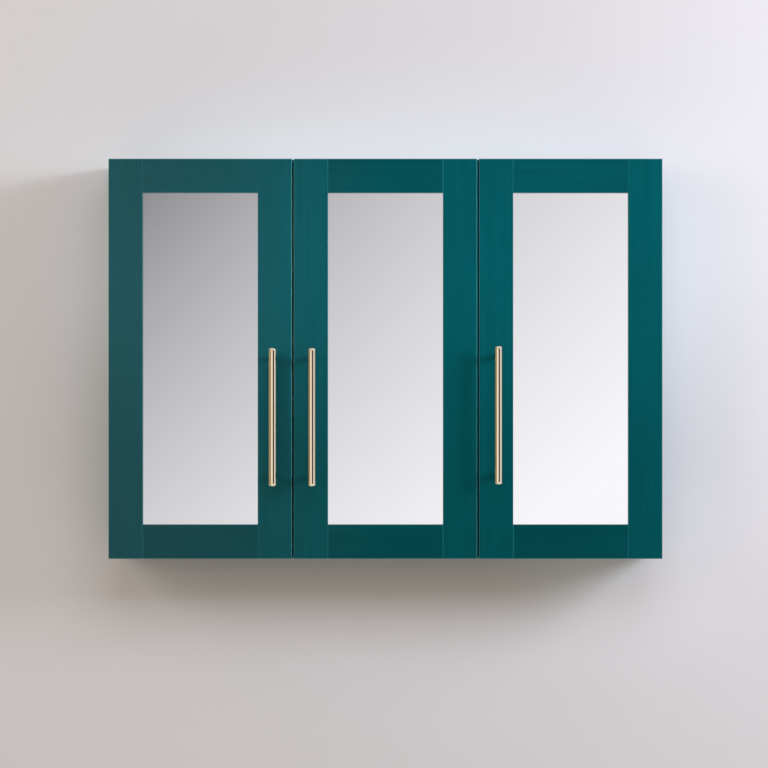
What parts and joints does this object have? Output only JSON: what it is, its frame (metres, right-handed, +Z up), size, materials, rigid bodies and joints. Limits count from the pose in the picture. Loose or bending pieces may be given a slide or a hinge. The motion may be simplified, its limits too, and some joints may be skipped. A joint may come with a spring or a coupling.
{
  "type": "mirror cabinet",
  "caption": "Wall-hung bathroom mirror cabinet: painted framed doors with mirrors and round bar handles on sprung concealed hinges, over a case with glass shelves",
  "frame": {"origin": "centre of the wall fixings, on the wall plane", "axes": "+Z up, the doors face -Y, the wall is the plane y = 0, +X to the right seen from the front"},
  "size_m": [0.9, 0.185, 0.65],
  "materials": {
    "teal_paint": "satin teal paint over open-grained wood",
    "teal_board": "satin teal paint over board",
    "back_panel": "white faced hardboard",
    "backing_board": "smooth brown hardboard",
    "beech_dowel": "plain beech",
    "mirror_glass": "silvered float glass",
    "shelf_glass": "clear float glass with polished edges",
    "brushed_brass": "brushed pale brass",
    "nickel_steel": "nickel-plated steel",
    "zinc_steel": "bright zinc-plated steel",
    "white_plastic": "moulded white plastic",
    "clear_bumper": "soft clear pad"
  },
  "bodies": {
    "case": {"left_side_panel": "teal_board", "right_side_panel": "teal_board", "top_panel": "teal_board", "bottom_panel": "teal_board", "partition_panel": "teal_board", "back_panel": "back_panel", "wide_lower_shelf": "shelf_glass", "wide_upper_shelf": "shelf_glass", "narrow_lower_shelf": "shelf_glass", "narrow_upper_shelf": "shelf_glass", "shelf_pins": "nickel_steel", "carcass_dowels": "beech_dowel", "hanger_bodies": "white_plastic", "hanger_hooks": "zinc_steel", "hanger_adjusters": "zinc_steel", "wall_plates": "zinc_steel", "hinge_mounting_plates": "nickel_steel", "hinge_plate_screws": "zinc_steel", "hinge_arms": "nickel_steel", "cranked_hinge_arms": "nickel_steel"},
    "left_door": {"left_hinge_stile": "teal_paint", "left_handle_stile": "teal_paint", "left_top_rail": "teal_paint", "left_bottom_rail": "teal_paint", "left_mirror": "mirror_glass", "left_backing_board": "backing_board", "left_frame_screws": "zinc_steel", "left_handle_bar": "brushed_brass", "left_handle_posts": "brushed_brass", "left_handle_screws": "zinc_steel", "left_hinge_cups": "nickel_steel", "left_hinge_springs": "nickel_steel", "left_bumpers": "clear_bumper"},
    "middle_door": {"middle_hinge_stile": "teal_paint", "middle_handle_stile": "teal_paint", "middle_top_rail": "teal_paint", "middle_bottom_rail": "teal_paint", "middle_mirror": "mirror_glass", "middle_backing_board": "backing_board", "middle_frame_screws": "zinc_steel", "middle_handle_bar": "brushed_brass", "middle_handle_posts": "brushed_brass", "middle_handle_screws": "zinc_steel", "middle_hinge_cups": "nickel_steel", "middle_hinge_springs": "nickel_steel", "middle_bumpers": "clear_bumper"},
    "right_door": {"right_hinge_stile": "teal_paint", "right_handle_stile": "teal_paint", "right_top_rail": "teal_paint", "right_bottom_rail": "teal_paint", "right_mirror": "mirror_glass", "right_backing_board": "backing_board", "right_frame_screws": "zinc_steel", "right_handle_bar": "brushed_brass", "right_handle_posts": "brushed_brass", "right_handle_screws": "zinc_steel", "right_hinge_cups": "nickel_steel", "right_hinge_springs": "nickel_steel", "right_bumpers": "clear_bumper"}
  },
  "joints": [
    {"name": "left_door_swing", "type": "hinge", "parent": "case", "child": "left_door", "pos_m": [-0.4425, -0.143, -0.253], "axis": [0, 0, -1], "range_deg": [0, 105], "stiffness_Nm_per_rad": 0.15, "springref_deg": -28.65},
    {"name": "middle_door_swing", "type": "hinge", "parent": "case", "child": "middle_door", "pos_m": [0.1415, -0.143, -0.253], "axis": [0, 0, 1], "range_deg": [0, 105], "stiffness_Nm_per_rad": 0.15, "springref_deg": -28.65},
    {"name": "right_door_swing", "type": "hinge", "parent": "case", "child": "right_door", "pos_m": [0.4425, -0.143, -0.253], "axis": [0, 0, 1], "range_deg": [0, 105], "stiffness_Nm_per_rad": 0.15, "springref_deg": -28.65}
  ]
}
